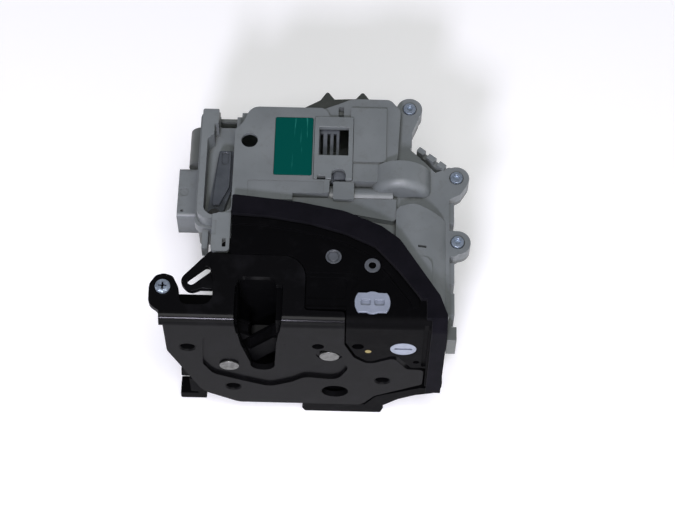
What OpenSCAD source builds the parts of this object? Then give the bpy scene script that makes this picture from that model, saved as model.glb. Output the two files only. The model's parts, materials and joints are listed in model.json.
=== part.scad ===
// Car door lock: a steel latch plate with a wing, a rotating catch and its pawl in a black frame,
// a side cover with a foam seal, and a grey two-part housing with the locking drive.
// X runs to the right along the shut face, Y goes into the door, Z points up to the wing.
// The origin lies on the shut face, below the mouth, at the plate's lower edge.

/* [Latch plate] */
// Thickness of the steel plate
plate_t = 3; // [2.5:0.1:3.5]
// Outside radius of the bend between shut face and wing
bend_r = 5; // [4:0.5:6]
// Height of the wing's upper side above the plate's lower edge
wing_z = 90; // [89:0.5:92]
// Depth of the wing behind the shut face
wing_depth = 35; // [34:0.5:36]
// Width of the mouth at its closed end
mouth_w = 11.7; // [10.5:0.1:13]
// Height of the mouth's closed end
mouth_z = 35.4; // [34.5:0.1:36]
// Depth of the mouth's cut in the wing
mouth_depth = 23.5; // [22:0.5:24.5]
// Depth of the pressed step around the mouth
step_depth = 1.5; // [1.2:0.1:1.8]
// Radius of the bore in each fixing thread
thread_r = 3.4; // [3.2:0.05:3.6]
// Outside radius of the drawn collar behind each fixing thread
collar_r = 6.4; // [6:0.1:6.8]
// Length of the drawn collar behind the plate
collar_h = 3.6; // [3:0.2:4]
// Radius of the large locating bore
locating_r = 6.5; // [6:0.1:7]
// Radius of the two small holes beside the bend
small_hole_r = 2.8; // [2.4:0.1:3.2]

/* [Catch and pawl] */
// Thickness of the catch's steel core
catch_core_t = 5; // [4.5:0.1:5.6]
// Thickness of the plastic skin on each side of the core
catch_skin = 1.4; // [1:0.1:1.5]
// Angle between the open and the closed catch
catch_swing = 52; // [48:1:54]
// Width of the slot that holds the striker
catch_slot_w = 9.6; // [9.4:0.1:10]
// Length of the kick arm from the pivot
kick_len = 34.5; // [33.5:0.1:34.7]
// Radius of the hub
catch_hub_r = 12; // [11:0.5:12.5]
// Thickness of the pawl
pawl_t = 6; // [5:0.5:6.6]
// Radius of the pawl's hub
pawl_hub_r = 8; // [7:0.5:8.5]
// Radius of the two rivet shanks
rivet_r = 4; // [3.6:0.1:4.3]
// Radius of the visible rivet heads
rivet_head_r = 4.65; // [4.5:0.05:5]
// Radial clearance of a part that turns on a rivet
turn_gap = 0.06; // [0.03:0.01:0.09]
// Wire diameter of the torsion springs
spring_wire = 1.2; // [1:0.1:1.3]

/* [Latch frame] */
// Depth of the frame behind the plate
frame_depth = 12.3; // [12:0.1:13]
// Thickness of the frame's walls
frame_wall = 2; // [1.6:0.1:2.4]
// Thickness of the steel back plate
back_t = 2; // [1.5:0.1:2.2]
// Depth of the striker pocket behind the shut face
pocket_depth = 26; // [25:0.5:26.5]

/* [Release levers] */
// Thickness of the outside release lever
lever_t = 3; // [2.5:0.1:3.2]
// Width of the slot at the lever's tip
lever_slot_w = 3.6; // [3:0.1:4]
// Length of the slot at the lever's tip
lever_slot_len = 12.8; // [11:0.2:14]
// Width of the inside release slider
slider_w = 8; // [6:0.5:9]

/* [Side cover] */
// Thickness of the side cover
cover_t = 2.5; // [2:0.1:2.8]
// Height of the foam seal above the side cover
seal_h = 3; // [2:0.5:4]
// Radius of the emergency disc
disc_r = 6.1; // [5.6:0.1:6.4]
// Radius of the twist plug's round centre
plug_r = 5.6; // [5:0.1:6]
// Reach of the twist plug's lobes from its centre
plug_reach = 8.2; // [7.6:0.1:8.6]

/* [Housing] */
// Height of the housing from its underside to the top of the wing
housing_h = 46; // [45:1:50]
// Drop from the top of the wing to the split between the two housing parts
split_drop = 16; // [15.5:0.5:17]
// Drop from the top of the wing to the housing's upper plateau
plateau_drop = 2; // [1.6:0.1:2.4]
// Drop from the top of the wing to the screw ears' upper side
ear_drop = 10; // [9:0.5:11]
// Thickness of the housing's walls
wall = 1.8; // [1.5:0.1:2]
// Radius of the screw ears
ear_r = 6.2; // [5.8:0.1:6.6]
// Radius of the arch over the worm wheel
arch_r = 14.6; // [14.6:0.1:15.2]
// Rounding of the arch's front edge
arch_fillet = 4; // [3:0.5:4.2]
// Width of the snap loops that hold the two housing parts together
snap_w = 11; // [9:0.5:12]
// Height of the electrical connector
connector_h = 18; // [17:0.5:19]
// Length of the electrical connector
connector_len = 27.3; // [26:0.1:30]

/* [Locking drive] */
// Number of teeth on the worm wheel
wheel_teeth = 30; // [30:1:30]
// Module of the worm and its wheel
wheel_module = 0.8; // [0.8:0.01:0.8]
// Number of teeth on the pinion
pinion_teeth = 10; // [10:1:10]
// Module of the pinion and its rack
rack_module = 1; // [1:0.1:1]
// Pitch radius of the worm
worm_r = 4; // [3.8:0.1:4.2]
// Length of the motor bodies
motor_len = 25; // [23:0.5:25.5]
// Radius of the motor bodies
motor_r = 10; // [9.5:0.1:10.2]

/* [Hidden] */
$fn = 64;

// Clearance between fixed pieces that lie side by side
gap = 0.4;
// Clearance between moving pieces and what they pass
play = 0.5;
// Width of a rack tooth on the pitch line
rack_tooth = 1.2;
steel = "#26282b";
black = "#141416";
grey = "#a3a8a3";
zinc = "#b9bdc2";
white = "#e4e6ea";
step_points = 7;

// Right edge of the wing and the radius of its rear corner
wing_right = 20.3;
wing_corner = 11;

// Places of the pivots on the shut face, as [x, z]
catch_at = [-16, 41];
pawl_at = [32, 54];
disc_at = [66.6, 64.7];
thread_at = [[-34.6, 61.8], [-14.9, 18.4], [57.7, 29.1]];
locating_at = [34.7, 15.5];
small_hole_at = [[26.7, 65.9], [45.4, 66.3]];
lever_at = [28.5, 44];
ear_screw_at = [-45.3, 17.1];
pin_at = [[33, 35.1], [51.2, 30.9]];
plug_at = [51.5, 11];
front_hole_at = [73.2, 50.6];
rim_h = 1.4;

// Layers behind the shut face
catch_t = catch_core_t + 2 * catch_skin;
catch_y = plate_t + step_depth + 1.5;
catch_core_y = catch_y + catch_skin;
frame_y = plate_t + step_depth + 0.3;
frame_back = frame_y + frame_depth;
back_y = frame_back + 0.2;
wing_under = wing_z - plate_t;
lever_z = wing_under - 0.5 - lever_t;
frame_top = lever_z - play;
striker_z = mouth_z + 6.6;

// Heights in the housing
base_z = wing_z - housing_h;
split_z = wing_z - split_drop;
plateau_z = wing_z - plateau_drop;
ear_z = wing_z - ear_drop;
cover_under = wing_z - cover_t;
channel_floor = split_z + 2;
wheel_r = wheel_teeth * wheel_module / 2;
pinion_r = pinion_teeth * rack_module / 2;
wheel_at = [64, ear_z - 2];
wheel_y = 75;
wheel_w = 4;
pinion_w = 5;
worm_z = wheel_at[1] - wheel_r - worm_r;
worm_y = wheel_y + wheel_w / 2;
worm_pitch = PI * wheel_module;
rack_z = wheel_at[1] + pinion_r;
motor_x = 23;
ears_at = [[68.1, 123.3], [90.9, 84.7], [91.3, 49.5]];
ear_t = 2.5;
// Left side of the housing, and the cable channel in it
left_x = -33.8;
channel_x = [-29.3, -16.2];
slider_x = -24.6;
connector_low = [68, base_z + 4];
// Snap loops, as [x, y, angle] of the wall's outer face
snaps = [[87.5, 17.5, 0], [87.5, 33.5, 0], [87.5, 66, 0], [0, 119, 90]];
black_coat = "#1d1e20";

// Helpers: points of a rounded outline, and plates that stand in the three planes
function unit(v) = v / norm(v);

function corner(before, at, after, r) =
    r <= 0 ? [at] :
    let (
        u = unit(before - at),
        w = unit(after - at),
        half = acos(u * w) / 2,
        middle = at + unit(u + w) * r / sin(half),
        first = at + u * r / tan(half) - middle,
        last = at + w * r / tan(half) - middle,
        from = atan2(first.y, first.x),
        turn = (atan2(last.y, last.x) - from + 540) % 360 - 180
    )
    [for (i = [0 : step_points]) middle + r * [cos(from + turn * i / step_points),
                                              sin(from + turn * i / step_points)]];

function flat(p) = [p[0], p[1]];

function rounded(points) =
    let (n = len(points))
    [for (i = [0 : n - 1])
        each corner(flat(points[(i + n - 1) % n]), flat(points[i]), flat(points[(i + 1) % n]),
                    len(points[i]) > 2 ? points[i][2] : 0)];

function moved(points, by) = [for (p = points) [p[0] + by[0], p[1] + by[1], len(p) > 2 ? p[2] : 0]];

module lying(points, z0, z1) {
    translate([0, 0, z0]) linear_extrude(z1 - z0) polygon(rounded(points));
}

module standing(points, y0, y1) {
    translate([0, y1, 0]) rotate([90, 0, 0]) linear_extrude(y1 - y0) polygon(rounded(points));
}

module facing_x(points, x0, x1) {
    translate([x0, 0, 0]) rotate([90, 0, 90]) linear_extrude(x1 - x0) polygon(rounded(points));
}

module rod_y(at, y0, y1, r) {
    translate([at[0], y1, at[1]]) rotate([90, 0, 0]) cylinder(h = y1 - y0, r = r);
}

module rod_z(at, z0, z1, r) {
    translate([at[0], at[1], z0]) cylinder(h = z1 - z0, r = r);
}

module rod_x(at, x0, x1, r) {
    translate([x0, at[0], at[1]]) rotate([0, 90, 0]) cylinder(h = x1 - x0, r = r);
}

module block(low, high) {
    translate(low) cube(high - low);
}

// Round boss along Y whose front edge is rounded
module dome_y(at, y0, y1, r, fillet) {
    translate([at[0], y1, at[1]]) rotate([90, 0, 0]) rotate_extrude(angle = 360, $fn = 96)
        polygon([for (p = rounded([[0, 0, 0], [r, 0, 0], [r, y1 - y0, fillet], [0, y1 - y0, 0]])) p]);
}

function box_points(low, high, r) =
    [[low[0], low[1], r], [high[0], low[1], r], [high[0], high[1], r], [low[0], high[1], r]];

// Outline of the shut face, with the bend above it
face_points = [
    [-44.6, wing_z - bend_r, 0], [-44.6, 58, 10], [-30, 12, 14], [-13, 0, 8], [48, 0, 5],
    [54, 11, 6], [77, 26, 2.5], [77, 42.5, 2.5], [69, 43, 2], [62.5, 55, 2.5], [50.5, 47.5, 5],
    [43.5, 55, 7], [39, 69, 6], [39, wing_z - bend_r, 0]
];

// Outline of the mouth in the shut face, which flares towards the wing
mouth_half = mouth_w / 2;
mouth_points = [
    [-mouth_half, mouth_z, mouth_half * 0.98], [mouth_half, mouth_z, mouth_half * 0.98],
    [mouth_half, mouth_z + 8, 6], [mouth_half + 1.3, 66, 20], [mouth_half + 4.5, wing_z + 1, 0],
    [-mouth_half - 6.3, wing_z + 1, 0], [-mouth_half - 4, 64, 20], [-mouth_half, mouth_z + 8, 6]
];

// Outline of the pressed step around the mouth and the two rivets
step_outline = [
    [-26.5, wing_z - bend_r - 7, 8], [-28.5, 44, 9], [-24, 33, 8], [-10, 25.5, 8], [3, 19.5, 6],
    [14, 25.5, 5], [20, 31.5, 6], [36, 29, 6], [41, 42, 8], [36.5, 60, 8], [20, 64, 6],
    [17.5, wing_z - bend_r - 7, 4]
];

// Outline of the wing, whose left part carries the screw ear
wing_points = [
    [-46.5, bend_r, 0], [-51.5, bend_r + 3.5, 5], [-51.7, 17, 0], [-51.4, 19, 0], [-49, 23, 3],
    [-45.3, 24.3, 4], [-41, 23, 3], [-38, 17, 4], [-37, 8.6, 3.6], [-22.2, 8.6, 5],
    [-22.2, 22, 0], [-23.5, 26, 3], [-23.5, wing_depth, 2.5], [wing_right, wing_depth, wing_corner],
    [wing_right, bend_r + 2, 1.8], [38.5, bend_r + 1.6, 1.2], [39, bend_r, 0]
];

module bend(x0, x1, radius, thickness, front) {
    translate([x0, front + radius, wing_z - radius])
        rotate([0, 90, 0]) rotate([0, 0, 180])
            intersection() {
                difference() {
                    cylinder(h = x1 - x0, r = radius);
                    translate([0, 0, -1]) cylinder(h = x1 - x0 + 2, r = radius - thickness);
                }
                translate([0, 0, -1]) cube([radius + 1, radius + 1, x1 - x0 + 2]);
            }
}

module mouth_cut() {
    standing(mouth_points, -5, mouth_depth - 4);
    lying([[-mouth_half - 5.6, -5, 0], [mouth_half + 1.2, -5, 0], [mouth_half + 1.2, mouth_depth, 4],
           [-mouth_half - 5.6, mouth_depth, 4]], wing_under - 12, wing_z + 1);
}

module latch_plate() {
    color(steel) difference() {
        union() {
            difference() {
                standing(face_points, 0, plate_t);
                standing(step_outline, -1, step_depth);
            }
            standing(step_outline, plate_t - 0.01, plate_t + step_depth);
            bend(-46.5, 39, bend_r, plate_t, 0);
            lying(wing_points, wing_under, wing_z);
            for (at = thread_at) rod_y(at, plate_t - 0.01, plate_t + collar_h, collar_r);
        }
        mouth_cut();
        for (at = thread_at) {
            rod_y(at, -1, plate_t + collar_h + 1, thread_r);
            translate([at[0], 0.7, at[1]]) rotate([90, 0, 0])
                cylinder(h = 0.8, r1 = thread_r, r2 = thread_r + 0.8);
        }
        rod_y(locating_at, -1, plate_t + 1, locating_r);
        for (at = small_hole_at) rod_y(at, -1, plate_t + step_depth + 1, small_hole_r);
        rod_y(catch_at, -1, plate_t + step_depth + 1, rivet_r);
        rod_y(pawl_at, -1, plate_t + step_depth + 1, rivet_r);
        rod_y(pawl_at, -1, step_depth + 0.5, rivet_head_r + 1.6);
        rod_z(ear_screw_at, wing_under - 1, wing_z + 1, 2.6);
    }
}

// Outline of the striker pocket behind the mouth, grown by a distance
function pocket_points(grow) = [
    [-mouth_half - 1 - grow, mouth_z - 6 - grow, 2], [mouth_half + 1.2 + grow, mouth_z - 6 - grow, 2],
    [mouth_half + 1.2 + grow, wing_z + 5, 0], [-mouth_half - 5.2 - grow, wing_z + 5, 0],
    [-mouth_half - 5.2 - grow, 64, 3], [-mouth_half - 1 - grow, 54, 3]
];

// The steel plate behind the frame that carries the far ends of the two rivets
module back_plate() {
    color(steel) difference() {
        // The lower left corner stays clear of the fixing thread
        standing([[-30, thread_at[1][1] + 8.6, 5], [14, 16, 4], [44, 36, 6], [44, 66, 6], [16, 72, 4], [16, 78, 3],
                  [-30, 78, 5]], back_y, back_y + back_t);
        standing(pocket_points(frame_wall + 0.4), back_y - 1, back_y + back_t + 1);
        rod_y(catch_at, back_y - 1, back_y + back_t + 1, rivet_r);
        rod_y(pawl_at, back_y - 1, back_y + back_t + 1, rivet_r);
    }
}

module rivet(at) {
    color(zinc) {
        rod_y(at, 0.5, step_depth, rivet_head_r);
        rod_y(at, step_depth - 0.01, back_y + back_t + 0.01, rivet_r);
        rod_y(at, back_y + back_t, back_y + back_t + 1.6, rivet_r + 1.8);
    }
}

module catch_rivet() {
    rivet(catch_at);
}

module pawl_rivet() {
    rivet(pawl_at);
}

// Room that the catch and the pawl sweep inside the frame
module mechanism_room(y0, y1) {
    rod_y(catch_at, y0, y1, catch_hub_r + 4.5);
    intersection() {
        rod_y(catch_at, y0, y1, kick_len + 2.6);
        standing([catch_at + [0, -14.2], catch_at + [60, -20], catch_at + [60, 60], catch_at + [-15, 60],
                  catch_at + [-15, 10]], y0, y1);
    }
    standing([[8, 26, 3], [26, 26, 4], [43, 44, 5], [43, 64, 5], [34, 70, 3], [34, 92, 0], [16, 92, 0],
              [16, 70, 3], [8, 50, 3]], y0, y1);
}

// Strip of the frame that follows the plate's lower right edge
edge_strip = [
    [49.4, -1, 0], [58.8, -1, 2], [65.8, 6.8, 8], [74.1, 12.2, 8], [83, 15.2, 3], [86.6, 22, 3], [86.6, 30, 1],
    [84.8, 30, 0], [84.8, 20.6, 1], [76, 20.6, 2], [55, 9.6, 3]
];

// Black moulded frame between the two steel plates, with the pocket that the striker enters
module latch_frame() {
    color(black) difference() {
        union() {
            standing([[-41, frame_top, 2], [-41, 59, 8], [-27, 12, 9], [-11, 3, 6], [18, 3, 0],
                      [18, -8, 3], [58, -8, 3], [58, 1, 2], [51, 1, 2], [56, 11, 5], [64, 18, 4],
                      [64, 44, 3], [56, 50, 3], [56, frame_top, 3]], frame_y, frame_back);
            intersection() {
                standing(pocket_points(frame_wall), frame_back - 0.01, pocket_depth + frame_wall);
                block([-40, 0, 0], [40, 40, frame_top]);
            }
            // Snap tab, web and foot on the left edge
            standing([[-40.7, 18.6, 1], [-26, 18.6, 0], [-26, 27, 0], [-40.2, 27, 1]], frame_y + 0.2, frame_y + 6);
            standing([[-37, 0.5, 1], [-37, 15.4, 1], [-16, 15.4, 0], [-16, 4, 0], [-30, 2, 2], [-30, -4, 0],
                      [-33.5, -4, 0], [-33.5, 0.5, 0]], frame_y, frame_y + 6);
            standing([[-42.4, -7, 0.8], [-42.4, -1.4, 0.8], [-29.5, -1.4, 0.8], [-29.5, -7, 0.8]],
                     frame_y, frame_y + 9);
            // Lip in front of the lower edge, and the strip along the plate's lower right edge
            standing([[18.8, -0.6, 0], [57, -0.6, 0], [58.8, -4, 1], [57.5, -9.8, 1], [19.8, -9.8, 1],
                      [18.4, -6, 1]], gap, frame_y + 3);
            standing(edge_strip, gap, frame_y + 0.1);
            standing([[50, -1, 0], [58.8, -1, 2], [65.8, 6.8, 8], [74.1, 12.2, 8], [83, 15.2, 3], [86.6, 22, 3],
                      [86.6, 34, 2], [64, 42, 0], [52, 20, 0]], frame_y, frame_y + 2.6);
            // Shelf under the outside release lever
            block([8, frame_y + 2, frame_top - 3], [44, 34, frame_top]);
            // Column under the plate's screw ear
            difference() {
                union() {
                    rod_z(ear_screw_at, wing_under - 20, wing_under - 0.1, 4.6);
                    block([-47, frame_y + 5, wing_under - 20], [-38, ear_screw_at[1], wing_under - 9]);
                }
                rod_z(ear_screw_at, wing_under - 14, wing_under + 1, 1.8);
            }
        }
        mechanism_room(frame_y - 1, catch_y + catch_t + play);
        standing(pocket_points(0), frame_y - 1, pocket_depth);
        for (at = thread_at) {
            rod_y(at, frame_y - 1, plate_t + collar_h + gap, collar_r + gap);
            rod_y(at, frame_y - 1, pocket_depth, thread_r + 1.2);
        }
        rod_y(locating_at, frame_y - 1, frame_back - frame_wall, locating_r + 0.5);
        rod_y(catch_at, frame_y - 1, frame_back + 1, catch_hub_r - 2);
        rod_y(pawl_at, frame_y - 1, frame_back + 1, pawl_hub_r + 1);
    }
}

// Rubber block that the striker comes to rest above
module striker_buffer() {
    color(black) standing(box_points([-mouth_half - 0.9, mouth_z - 5.9], [mouth_half + 1.1, mouth_z - 0.3], 2.3),
                          catch_y + catch_t + play, pocket_depth - 0.3);
}

// Profile of the catch around its pivot, drawn as it stands when closed
module catch_profile(grow) {
    slot_low = catch_slot_w / 2;
    centre_z = striker_z - catch_at[1];
    difference() {
        union() {
            circle(r = catch_hub_r + grow);
            polygon(rounded([[0, centre_z + slot_low + 9 + grow, 0], [0, 0, 0], [23 + grow, 0, 0],
                             [23 + grow, centre_z + slot_low + 5, 3],
                             [16, centre_z + slot_low + 9 + grow, 5]]));
            polygon(rounded([[0, -12.5 - grow, 0], [kick_len - 1.5 + grow, -12.5 - grow, 3.8],
                             [kick_len, centre_z - slot_low - 5, 0.6],
                             [kick_len - 5, centre_z - slot_low, 0.6],
                             [10, centre_z - slot_low + grow, 0], [0, 0, 0]]));
        }
        translate([-catch_at[0], centre_z]) {
            circle(r = slot_low - grow);
            translate([0, -slot_low + grow]) square([kick_len, 2 * (slot_low - grow)]);
        }
    }
}

// The catch stands open: its two arms point up into the mouth
module catch_placed(y0, y1) {
    translate([catch_at[0], y1, catch_at[1]]) rotate([0, -catch_swing, 0]) rotate([90, 0, 0])
        linear_extrude(y1 - y0) children();
}

module catch() {
    color(black_coat) difference() {
        catch_placed(catch_core_y, catch_core_y + catch_core_t) catch_profile(0);
        rod_y(catch_at, catch_y - 1, catch_y + catch_t + 1, rivet_r + turn_gap);
    }
}

// Plastic skin on both faces of the core, joined through two holes that the core's edge shows
module catch_skin_moulding() {
    color(black) difference() {
        union() {
            catch_placed(catch_y, catch_core_y) catch_profile(0.6);
            catch_placed(catch_core_y + catch_core_t, catch_y + catch_t) catch_profile(0.6);
            catch_placed(catch_y, catch_y + catch_t) intersection() {
                difference() {
                    circle(r = catch_hub_r + 0.6);
                    circle(r = catch_hub_r);
                }
                translate([-20, -20]) square([16, 40]);
            }
        }
        rod_y(catch_at, catch_y - 1, catch_y + catch_t + 1, rivet_r + 1);
    }
}

// Torsion spring: three coils round a pivot and two straight legs
module torsion_spring(at, y0, coil_r, leg_a, leg_b, reach) {
    color(zinc) {
        for (i = [0 : 1])
            translate([at[0], y0 + spring_wire * (0.5 + 0.95 * i), at[1]]) rotate([90, 0, 0])
                rotate_extrude() translate([coil_r, 0]) circle(d = spring_wire);
        for (leg = [[leg_a, 0], [leg_b, 1]])
            translate([at[0], y0 + spring_wire * (0.5 + 0.95 * leg[1]), at[1]])
                rotate([0, -leg[0], 0]) translate([-0.4, 0, coil_r]) rotate([0, 90, 0])
                    cylinder(h = reach, d = spring_wire * 0.9);
    }
}

module catch_spring() {
    torsion_spring(catch_at, catch_y + catch_t + 0.2, catch_hub_r - 4, 30, 200, 5);
}

module pawl_spring() {
    torsion_spring(pawl_at, catch_y + pawl_t + 0.4, pawl_hub_r - 1.5, 250, 120, 6);
}

// The pawl: a nose that meets the catch's chamfer along the 45 degree line, and an upper arm
module pawl() {
    nose_d = (pawl_at[0] - catch_at[0] - kick_len + 2.5 + pawl_at[1] - striker_z + catch_slot_w / 2 + 2.5)
             / sqrt(2) - 0.25;
    engage = 7.4;
    arm_top = wing_under - pawl_at[1] - 1.2;
    color(zinc) difference() {
        translate([pawl_at[0], catch_y + pawl_t, pawl_at[1]]) {
            rotate([0, -engage, 0]) rotate([90, 0, 0]) linear_extrude(pawl_t) rotate(-135)
                polygon(rounded([[0, 0.5 - pawl_hub_r, 0], [8, -6, 4], [18, 3.2, 5], [nose_d, 3.2, 0.5],
                                 [nose_d, 9.4, 1.5], [14, 11, 6], [0, pawl_hub_r - 0.5, 0]]));
            rotate([90, 0, 0]) linear_extrude(pawl_t) {
                circle(r = pawl_hub_r);
                polygon(rounded([[0.5 - pawl_hub_r, 0, 0], [pawl_hub_r - 0.5, 0, 0], [5, 8, 4],
                                 [-5.4, arm_top - 5.8, 4], [-5.4, arm_top, 1], [-10.8, arm_top, 1],
                                 [-10.8, arm_top - 9.8, 4]]));
            }
        }
        rod_y(pawl_at, catch_y - 1, catch_y + pawl_t + 1, rivet_r + turn_gap);
    }
}

// Outside release lever: a flat steel lever under the wing, from the cable slot to the pawl
module release_lever() {
    tip = [-32.7, 22.3];
    color(steel) difference() {
        union() {
            lying([[22, 50, 5], [-14, 47, 8], [-25.6, 37.6, 4], [-38.8, 22.6, 4.2], [-33.2, 16.4, 4.2],
                   [-28.2, 18.6, 1], [-21.5, 18.6, 1.5], [-21.5, 26, 3],
                   [-14, 31.5, 5], [14, 31.5, 8], [23.6, 24, 4], [23.6, 18.5, 1], [18.2, 16.5, 1.5],
                   [18.2, 8, 0.8], [20.6, 8, 0.8], [20.6, 13.5, 0.8], [27.5, 13.5, 0.8],
                   [27.5, 8, 0.8], [31, 8, 1.2], [31, 22, 4], [36, 38, 5], [36, 50, 6]],
                  lever_z, lever_z + lever_t);
        }
        rod_z(lever_at, lever_z - 1, lever_z + lever_t + 1, rivet_r - 1 + turn_gap);
        translate([tip[0], tip[1], lever_z - 1]) rotate(40.6) linear_extrude(lever_t + 2)
            union() {
                translate([0, -lever_slot_w / 2]) square([lever_slot_len - lever_slot_w, lever_slot_w]);
                circle(d = lever_slot_w);
                translate([lever_slot_len - lever_slot_w, 0]) circle(d = lever_slot_w);
            }
    }
}

module lever_rivet() {
    color(zinc) {
        rod_z(lever_at, split_z + 5, lever_z - 0.3, rivet_r + 1);
        rod_z(lever_at, lever_z - 0.31, cover_under - 0.02, rivet_r - 1);
    }
}

module lever_spring() {
    color(zinc) {
        for (i = [0 : 2])
            translate([lever_at[0], lever_at[1], split_z + 5.6 + i * spring_wire * 0.95])
                rotate_extrude() translate([rivet_r + 2.2, 0]) circle(d = spring_wire, $fn = 16);
    }
}

module plate_screw() {
    head_r = 3.5;
    color(zinc) {
        difference() {
            union() {
                rod_z(ear_screw_at, wing_z + 0.02, wing_z + 1.2, head_r);
                translate([ear_screw_at[0], ear_screw_at[1], wing_z + 1.19]) cylinder(h = 0.8, r1 = head_r, r2 = 2.1);
            }
            translate([ear_screw_at[0], ear_screw_at[1], wing_z + 0.6])
                for (turn = [0, 90]) rotate(turn) translate([-1.9, -0.45, 0]) cube([3.8, 0.9, 3]);
        }
        rod_z(ear_screw_at, wing_under - 12, wing_z + 0.03, 1.75);
    }
}

// Edge of the side cover's top face, from its left end round to the front
cover_points = [
    [-15.2, wing_depth + gap, 1], [wing_right + gap, wing_depth + gap, wing_corner + gap],
    [wing_right + gap, bend_r + 3, 1],
    [39.6, bend_r + 3, 0], [39.6, bend_r + 0.3, 0], [84.4, bend_r + 0.3, 0], [84.4, 9, 0], [81.2, 15.5, 0],
    [62.8, 43.2, 6], [54.6, 49.2, 8], [37.5, 56.8, 20], [16.2, 61.2, 30], [-15.2, 64.6, 1]
];

// Part of the cover that is bent down beside the steel plate and carries the emergency disc
front_points = [
    [39.6, wing_z - bend_r, 0], [39.6, 70.5, 5], [44.4, 56.5, 5], [50.7, 49.5, 3], [61.5, 56.8, 2],
    [64.2, 56.2, 2], [70.8, 44.4, 1], [78, 44.4, 1.5], [78, 24, 0], [84.4, 19, 2.5],
    [84.4, wing_z - bend_r, 0]
];

module side_cover() {
    color(black) difference() {
        union() {
            lying(cover_points, cover_under, wing_z);
            bend(39.6, 84.4, bend_r, cover_t, 0.3);
            standing(front_points, 0.3, 0.3 + cover_t);
            // Raised rim inside the seal
            intersection() {
                difference() {
                    lying(inner_rim(-1), wing_z - 0.01, wing_z + rim_h);
                    lying(inner_rim(-4.6), wing_z - 1, wing_z + 2);
                }
                block([-15.2, bend_r + 4, wing_z - 1], [90, 90, wing_z + 2]);
            }
        }
        // Shallow recess beside the wing, with a deeper field in it
        lying([[15, 9, 0], [39.6, 9, 1.5], [41.7, 12, 2], [41.9, 18.3, 1.5], [44.7, 20.6, 2], [44.6, 24, 2],
               [42, 26.7, 2.5], [15, 26.7, 0]], wing_z - 0.8, wing_z + 1);
        lying([[15, 13.5, 0], [39, 13.5, 1.5], [40, 24.8, 2], [15, 24.8, 0]], wing_z - 1.3, wing_z + 1);
        // Groove down the front beside the seal
        block([75.6, -1, 46], [77.8, 1.4, wing_z + 0.01]);
        rod_y(disc_at, -1, 5, disc_r + 0.08);
        rod_y(small_hole_at[1], -1, 4, small_hole_r);
        rod_y(front_hole_at, -1, 4, 1.5);
        for (at = pin_at) {
            rod_z(at, cover_under - 1, wing_z + 1, 3.8);
            rod_z(at, wing_z, wing_z + 3, 4.3);
        }
        rod_z(plug_at, cover_under - 1, wing_z + 1, 4);
    }
}

// Inside line of the foam seal, moved in by a distance
function inner_rim(by) = [
    [-30, 56.5 + by, 0], [2.7, 54.6 + by, 20], [21.6, 51.4 + by, 20], [38.1, 46.5 + by, 12],
    [52.2 + by * 0.4, 40 + by * 0.9, 8], [63 + by * 0.9, 28 + by * 0.5, 5], [74 + by, 13.2 + by * 0.4, 4],
    [74 + by, -20, 0], [-30, -20, 0]
];

// Soft seal that follows the cover's edge and turns down along the front
module foam_seal() {
    color(black) {
        difference() {
            lying([[-15.4, 65.7, 1], [16.5, 62.2, 30], [37.8, 57.9, 20], [55.3, 50.3, 10],
                   [63.8, 43.6, 8], [82.5, 14.8, 6], [86, 5, 0], [86, bend_r - 2, 0], [-15.4, bend_r - 2, 0]],
                  wing_z + 0.02, wing_z + seal_h);
            lying(inner_rim(0), wing_z - 1, wing_z + seal_h + 1);
            block([-40, -20, wing_z - 1], [76.5, 13, wing_z + seal_h + 1]);
        }
        difference() {
            facing_x([[-2, 20, 1], [0.28, 20, 0], [0.28, wing_z - bend_r, 0], [bend_r - 2, wing_z + 0.02, 0],
                      [bend_r - 2, wing_z + seal_h, 0], [-2, wing_z - 2, 4]], 79, 86);
            translate([0, bend_r + 0.3, wing_z - bend_r]) rotate([0, 90, 0])
                translate([0, 0, 70]) cylinder(h = 20, r = bend_r);
        }
    }
}

module locating_pins() {
    color(grey) {
        for (at = pin_at) difference() {
            rod_z(at, lever_z + lever_t + 0.3, wing_z + 0.2, 3.72);
            if (at == pin_at[1]) {
                rod_z(at, wing_z - 2.4, wing_z + 1, 1.7);
            } else {
                difference() {
                    rod_z(at, wing_z - 0.2, wing_z + 1, 2.9);
                    rod_z(at, wing_z - 1, wing_z + 2, 2.3);
                }
            }
        }
    }
}

module emergency_disc() {
    color(white) difference() {
        union() {
            rod_y(disc_at, 0.3, cover_t + 0.5, disc_r);
            rod_y(disc_at, cover_t + 0.49, cover_t + 5, 3);
            standing(moved([[-2, -10, 1], [2, -10, 1], [2, 0, 0], [-2, 0, 0]], disc_at),
                     cover_t + 2, cover_t + 5);
        }
        standing(moved([[-4.2, -0.8, 0.4], [4.2, -0.8, 0.4], [4.2, 0.8, 0.4], [-4.2, 0.8, 0.4]], disc_at),
                 -1, 2);
    }
}

module twist_plug() {
    color(white) translate([plug_at[0], plug_at[1], 0]) {
        difference() {
            translate([0, 0, wing_z + 0.1]) linear_extrude(1.5) intersection() {
                circle(r = plug_reach);
                union() {
                    circle(r = plug_r);
                    square([2 * plug_reach, 2 * plug_r - 1.4], center = true);
                }
            }
            for (side = [-1, 1]) translate([side * 3.2, 0, wing_z + 0.5])
                linear_extrude(2) polygon(rounded(box_points([-2.3, -1.5], [2.3, 1.5], 0.9)));
        }
        translate([0, 0, cover_under - 2]) cylinder(h = cover_t + 2.11, r = 3.9);
    }
}

// Outline of the housing's main body and of its lower right arm
rear_points = [
    [left_x, 119, 3], [27, 119, 2], [34, 121.5, 3], [40, 124.4, 5], [59, 124.4, 4.5], [64, 118.5, 4],
    [64.5, 104, 3], [74, 95, 2], [82, 86, 3], [87.5, 80, 3], [87.5, 9, 3], [66, 9, 3], [66, 53, 3]
];
body_points = concat([[channel_x[1], 53, 2], [channel_x[1], 64.5, 1], [left_x, 64.5, 2]], rear_points);
lid_points = concat([[-22, 53, 2], [left_x, 55.5, 4]], rear_points);

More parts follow.
